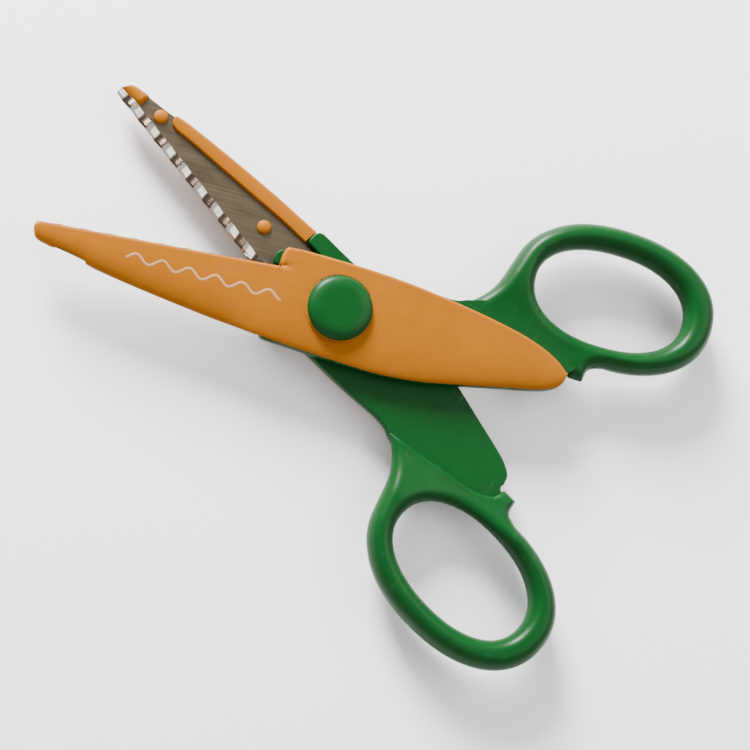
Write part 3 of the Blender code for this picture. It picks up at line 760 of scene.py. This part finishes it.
def buildCover(half):
    orange = finishes["orangePlastic"]
    body = makePiece(half + "_cover_moulding", *coverBody(), half, orange)
    well = disc(cover["wellRadius"], cover["wellFloor"], 7, half)
    bore = disc(boreRadius, 1, 7, half)
    cutAway(body, well, bore)
    boss = turned(cover["boss"], 96)
    heads = makePiece(half + "_pegs", *joined(boss, *map(pegHead, cover["pegs"])), half, orange)
    joinInto(body, heads)
    place(body, half, "orange_plastic", half + "_blade_cover")


# printed wave: a thin ribbon along v = centre - swing cos(2 pi (u - crest) / period) on the crown
ink = {"from": -52.6, "to": -14.3, "centre": 1.05, "swing": 0.95, "period": 6.55, "crest": -50.3,
       "width": 0.54, "roundEnd": 0.3, "proud": 0.035, "points": 360}


def buildInk(half):
    u = np.linspace(ink["from"], ink["to"], ink["points"])
    phase = 2 * math.pi * (u - ink["crest"]) / ink["period"]
    v = ink["centre"] - ink["swing"] * np.cos(phase)
    slope = ink["swing"] * np.sin(phase) * 2 * math.pi / ink["period"]
    length = np.hypot(1, slope)
    run = np.minimum(u - u[0], u[-1] - u) / ink["roundEnd"]
    reach = 0.5 * ink["width"] * quarterRound(np.maximum(run, 0.02))
    turn = np.linspace(0, 2 * math.pi, 14, endpoint=False)
    side = np.cos(turn)[None] * reach[:, None]
    pu = u[:, None] - slope[:, None] / length[:, None] * side
    pv = v[:, None] + side / length[:, None]
    spine, top = coverFrame(pu)[1:]
    ph = crownHeight(pu, pv, spine, top) + ink["proud"] * (0.2 + 0.8 * np.sin(turn)[None])
    verts, faces = shell(np.stack([pu, pv, ph], -1), caps=True)
    line = makePiece(half + "_wave_line", verts, faces, half, finishes["waveInk"])
    place(line, half, "orange_plastic")


# sheet over (distance from the pivot, share of the way from the cutting edge to the spine): the strip by
# the edge follows swing sin(2 pi (crest - r) / period), a ramp lifts it to the flat plate
def bladeSheet(sign, part):
    r = np.linspace(blade["rootRadius"], blade["reach"], blade["rows"])[:, None]
    strip, ramp = blade["stripWidth"], blade["rampWidth"]
    if part == "strip":
        climb = strip + ramp * np.linspace(0, 1, 9)[1:]
        offsets = np.concatenate([[0.0, 0.2, 0.4, 0.46], np.linspace(0.55, strip, 9), climb])
        narrow = knobInset(-r) / knobInset(0.0)
        offset = np.broadcast_to(offsets, (len(r), len(offsets))) * narrow
        r = np.maximum(r, blade["start"] - 0.8)
    else:
        u = -r
        spine = np.where(u < cover["rimStart"] + 0.5, spineEdge(u) - 0.3,
                         smoothCurve(u, outline["rimInner"]) + 0.1)
        spine = np.where(u < cover["knobStart"] + 0.1, cuttingEdge(u) + strip + ramp + 0.06, spine)
        share = (1 - np.cos(np.linspace(0, math.pi, 18))[None]) / 2
        offset = (strip + ramp) + (spine - cuttingEdge(u) - strip - ramp) * share
    # where the circle of radius r about the pivot meets the line this far from the cutting edge
    line = outline["edgeOffset"] + offset
    slope = outline["edgeSlope"]
    a, b, c = 1 + slope ** 2, 2 * line * slope, line ** 2 - r ** 2
    u = (-b - np.sqrt(np.maximum(b * b - 4 * a * c, 0))) / (2 * a)
    v = line + slope * u
    lift = smoothStep(offset, strip, strip + ramp)
    lift = np.maximum(lift, smoothStep(-r, -blade["start"], -blade["start"] + 0.75))
    swing = blade["swing"] * smoothStep(r, blade["start"], blade["start"] + 1.5)
    waves = swing * np.sin(2 * math.pi * (blade["crest"] - r) / blade["period"])
    low = slideGap - sign * waves
    h = low + (blade["plate"] - low) * lift
    outerSide = np.stack([u, v, h + blade["thickness"]], -1)[:, ::-1]
    inner = np.stack([u, v, h + blade["bevel"] * np.clip(1 - offset / 0.45, 0, 1)], -1)
    return shell(np.concatenate([inner, outerSide], 1), caps=True)


def buildBlade(half):
    sign = 1 if half == "rear" else -1
    plate = makePiece(half + "_blade_plate", *bladeSheet(sign, "plate"), half,
                      finishes["bladeSteelRear" if half == "rear" else "bladeSteelFront"], 30)
    strip = makePiece(half + "_wave_strip", *bladeSheet(sign, "strip"), half, finishes["stripSteel"], 30)
    place(plate, half, "blade_steel", half + "_blade")
    place(strip, half, "blade_steel")


cap = {"radius": 8.0, "underside": 5.5, "shoulder": 5.95, "flat": 4.5, "rimRound": 0.25, "segments": 128}


# cap profile: flat centre, low elliptical dome, tight rolled rim, hollow underside with a snap skirt
def buildCap(half):
    t = np.linspace(0, math.pi / 2, 22)
    rolled = cap["rimRound"]
    start = cap["radius"] - rolled
    radius = cap["flat"] + (start - cap["flat"]) * np.sin(t)
    height = cap["shoulder"] + (midHeight - cap["shoulder"]) * np.cos(t) ** 0.9
    turns = np.linspace(0.3, 2.6, 8)
    rim = [(start + rolled * math.sin(a), cap["shoulder"] - rolled + rolled * math.cos(a)) for a in turns]
    inside = [(6.5, cap["underside"]), (6.5, 4.4), (5.3, 4.4), (5.3, 6.2), (4.6, 6.4), (0.0, 6.4)]
    profile = [(0.0, midHeight)] + list(zip(radius, height)) + rim + inside
    shape = turned(profile, cap["segments"])
    piece = makePiece(half + "_cap_moulding", *shape, half, finishes["greenPlastic"])
    place(piece, half, "green_plastic", half + "_pivot_cap")


for halfName in halves:
    buildHandle(halfName)
    buildCover(halfName)
    buildBlade(halfName)
    buildCap(halfName)
    print(halfName, "half made")
buildInk("front")

# parts inside the joint keep their CAD shape and only take a finish
hidden = {"pivot_rivet": "rivetSteel", "front_rivet_washer": "rivetSteel",
          "rear_rivet_washer": "rivetSteel", "pivot_friction_washer": "washerNylon"}
for node, finish in hidden.items():
    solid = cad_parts[node]
    solid.data.materials.clear()
    solid.data.materials.append(finishes[finish])


# lights: power, size and place seen from the viewer's side as right, up and towards the viewer
studio = {
    "floorSize": 6.0, "sky": 1.0, "target": (0.01, 0.0, 0.0),
    "key": (78.0, 0.42, (-0.3, 1.0, 0.45)),
    "fill": (9.5, 1.0, (0.9, 0.2, 0.9)),
}


def paleFloor():
    n = 8
    x, y = np.meshgrid(np.linspace(-1, 1, n), np.linspace(-1, 1, n))
    verts = np.stack([x * studio["floorSize"] / 2, y * studio["floorSize"] / 2, np.zeros_like(x)], -1)
    mesh = bpy.data.meshes.new("pale_floor")
    mesh.from_pydata(verts.reshape(-1, 3).tolist(), [], gridFaces(n, n))
    floor = bpy.data.objects.new("pale_floor", mesh)
    bpy.context.scene.collection.objects.link(floor)
    material, tree, shader, coords = newMaterial("paleFloor")
    soft = remap(tree, noise(tree, coords, 9.0, 3.0), 0.3, 0.7, 0.55, 0.65)
    tree.links.new(soft, shader.inputs["Roughness"])
    shader.inputs["Base Color"].default_value = (0.93, 0.93, 0.93, 1)
    mesh.materials.append(material)


def addLight(name):
    energy, size, spot = studio[name]
    data = bpy.data.lights.new(name, "AREA")
    data.energy, data.size = energy, size
    lamp = bpy.data.objects.new(name, data)
    lamp.location = fromView @ Vector(spot)
    aim = Vector(studio["target"]) - lamp.location
    lamp.rotation_euler = aim.to_track_quat("-Z", "Y").to_euler()
    bpy.context.scene.collection.objects.link(lamp)


# the camera leans off the scissors' own normal by two small tilts
view = {"distance": 0.6364, "tiltX": -10.781, "tiltY": 11.587, "shift": (-0.0095, 0.0151), "lie": -29.431,
        "lens": 126.15}


def addCamera():
    tiltX = Matrix.Rotation(math.radians(view["tiltX"]), 4, "X")
    tiltY = Matrix.Rotation(math.radians(view["tiltY"]), 4, "Y")
    stand = Matrix.Translation((view["shift"][0], view["shift"][1], -view["distance"])) @ tiltX @ tiltY
    lie = Matrix.Rotation(math.radians(view["lie"]), 4, "Z")
    toView = lie @ Matrix.Translation((0, 0, -midHeight * mm))
    data = bpy.data.cameras.new("camera")
    data.lens, data.sensor_width = view["lens"], 36.0
    camera = bpy.data.objects.new("camera", data)
    camera.matrix_world = (stand @ toView).inverted()
    bpy.context.scene.collection.objects.link(camera)
    bpy.context.scene.camera = camera


addCamera()
fromView = Matrix.Rotation(-math.radians(view["lie"]), 4, "Z")
paleFloor()
addLight("key")
addLight("fill")
world = bpy.data.worlds.new("studio")
world.use_nodes = True
world.node_tree.nodes["Background"].inputs["Color"].default_value = (1, 1, 1, 1)
world.node_tree.nodes["Background"].inputs["Strength"].default_value = studio["sky"]
bpy.context.scene.world = world
print("studio ready")
